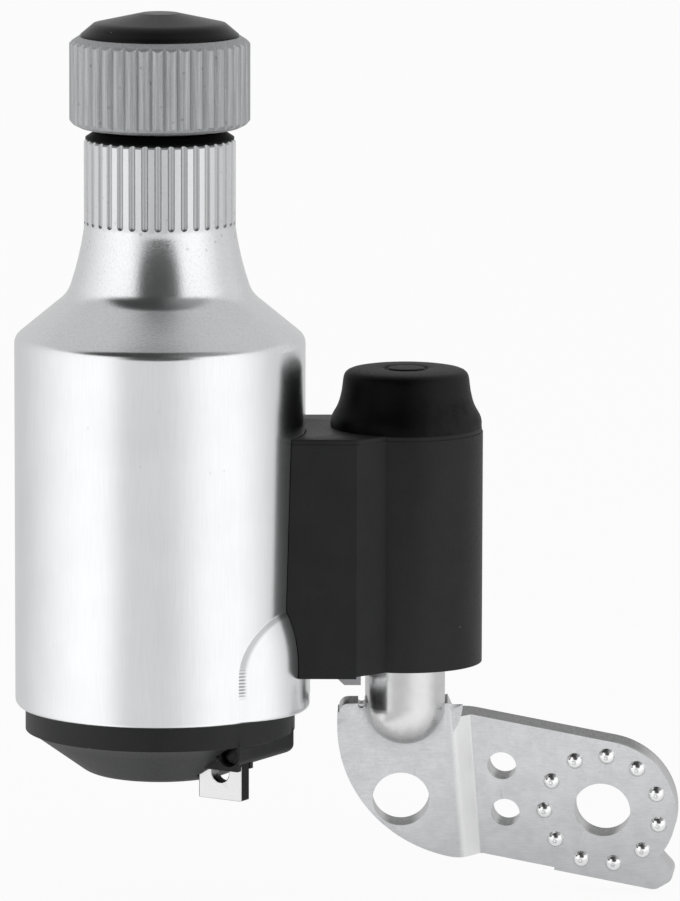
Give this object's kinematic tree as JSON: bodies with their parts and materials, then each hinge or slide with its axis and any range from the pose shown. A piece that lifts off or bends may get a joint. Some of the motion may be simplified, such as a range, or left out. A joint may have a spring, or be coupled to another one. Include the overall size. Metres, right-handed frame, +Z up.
{
  "type": "bottle dynamo",
  "caption": "Bicycle bottle dynamo: aluminium bottle with a ribbed roller, hinged by a button-latched steel pin to a stamped bolt-on bracket.",
  "frame": {"origin": "centre of the main bolt hole in the bracket, in the middle of the plate's thickness", "axes": "+Z up along the bottle and the hinge pin, +X from the bottle to the bracket's free end, -Y the side of the tyre and of the bracket's dimpled face"},
  "size_m": [0.0931, 0.0404, 0.125],
  "materials": {
    "zinc_steel": "zinc plated, satin",
    "pin_steel": "plated, smooth",
    "shell_aluminium": "satin, fine vertical grain",
    "roller_metal": "matt cast",
    "black_plastic": "satin moulded",
    "cap_plastic": "satin gloss",
    "rubber": "smooth black",
    "terminal_steel": "bright tin plate",
    "bronze": "sintered",
    "brass": "plain",
    "copper": "enamelled wire",
    "iron": "pressed",
    "ferrite": "matt",
    "inner_plastic": "plain",
    "grey_metal": "die cast",
    "steel": "plain"
  },
  "bodies": {
    "bracket": {"bracket_plate": "zinc_steel", "pivot_pin": "pin_steel", "latch_collar": "steel", "pin_clip": "steel"},
    "bottle": {"body_shell": "shell_aluminium", "neck_bearing": "bronze", "neck_seal": "rubber", "stator_spacer": "grey_metal", "claw_plate_upper": "iron", "claw_plate_lower": "iron", "stator_ring": "iron", "coil_bobbin": "inner_plastic", "coil_winding": "copper", "bearing_plate": "grey_metal", "lower_bearing": "bronze", "contact_strip": "brass", "bottom_cover": "black_plastic", "hinge_arm": "grey_metal", "arm_rivets": "steel", "lower_bush": "bronze", "upper_bush": "bronze", "swing_spring": "steel", "hinge_cover": "black_plastic", "button_boot": "rubber", "button_spring": "steel", "terminal_spring": "steel"},
    "rotor": {"shaft": "steel", "magnet_hub": "brass", "rotor_magnet": "ferrite", "thrust_washer": "steel", "drive_roller": "roller_metal", "roller_nut": "steel", "roller_cap": "cap_plastic"},
    "button": {"release_button": "black_plastic", "latch_dog": "steel"},
    "terminal": {"wire_terminal": "terminal_steel"}
  },
  "joints": [
    {"name": "bottle_swing", "type": "hinge", "parent": "bracket", "child": "bottle", "pos_m": [-0.02806, -0.00451, 0.01537], "axis": [0, 0, 1], "range_deg": [-24, 0], "stiffness_Nm_per_rad": 0.2, "springref_deg": 80.21},
    {"name": "roller_spin", "type": "hinge", "parent": "bottle", "child": "rotor", "pos_m": [-0.06226, -0.00971, 0.10377], "axis": [0, 0, 1], "continuous": true},
    {"name": "button_press", "type": "slide", "parent": "bottle", "child": "button", "axis": [0, 0, -1], "range_m": [0, 0.0025], "stiffness_N_per_m": 600, "springref_m": -0.004, "deforming": ["button_boot", "button_spring"]},
    {"name": "terminal_press", "type": "slide", "parent": "bottle", "child": "terminal", "axis": [0, 0, 1], "range_m": [0, 0.0022], "stiffness_N_per_m": 400, "springref_m": -0.003, "deforming": ["terminal_spring"]}
  ]
}
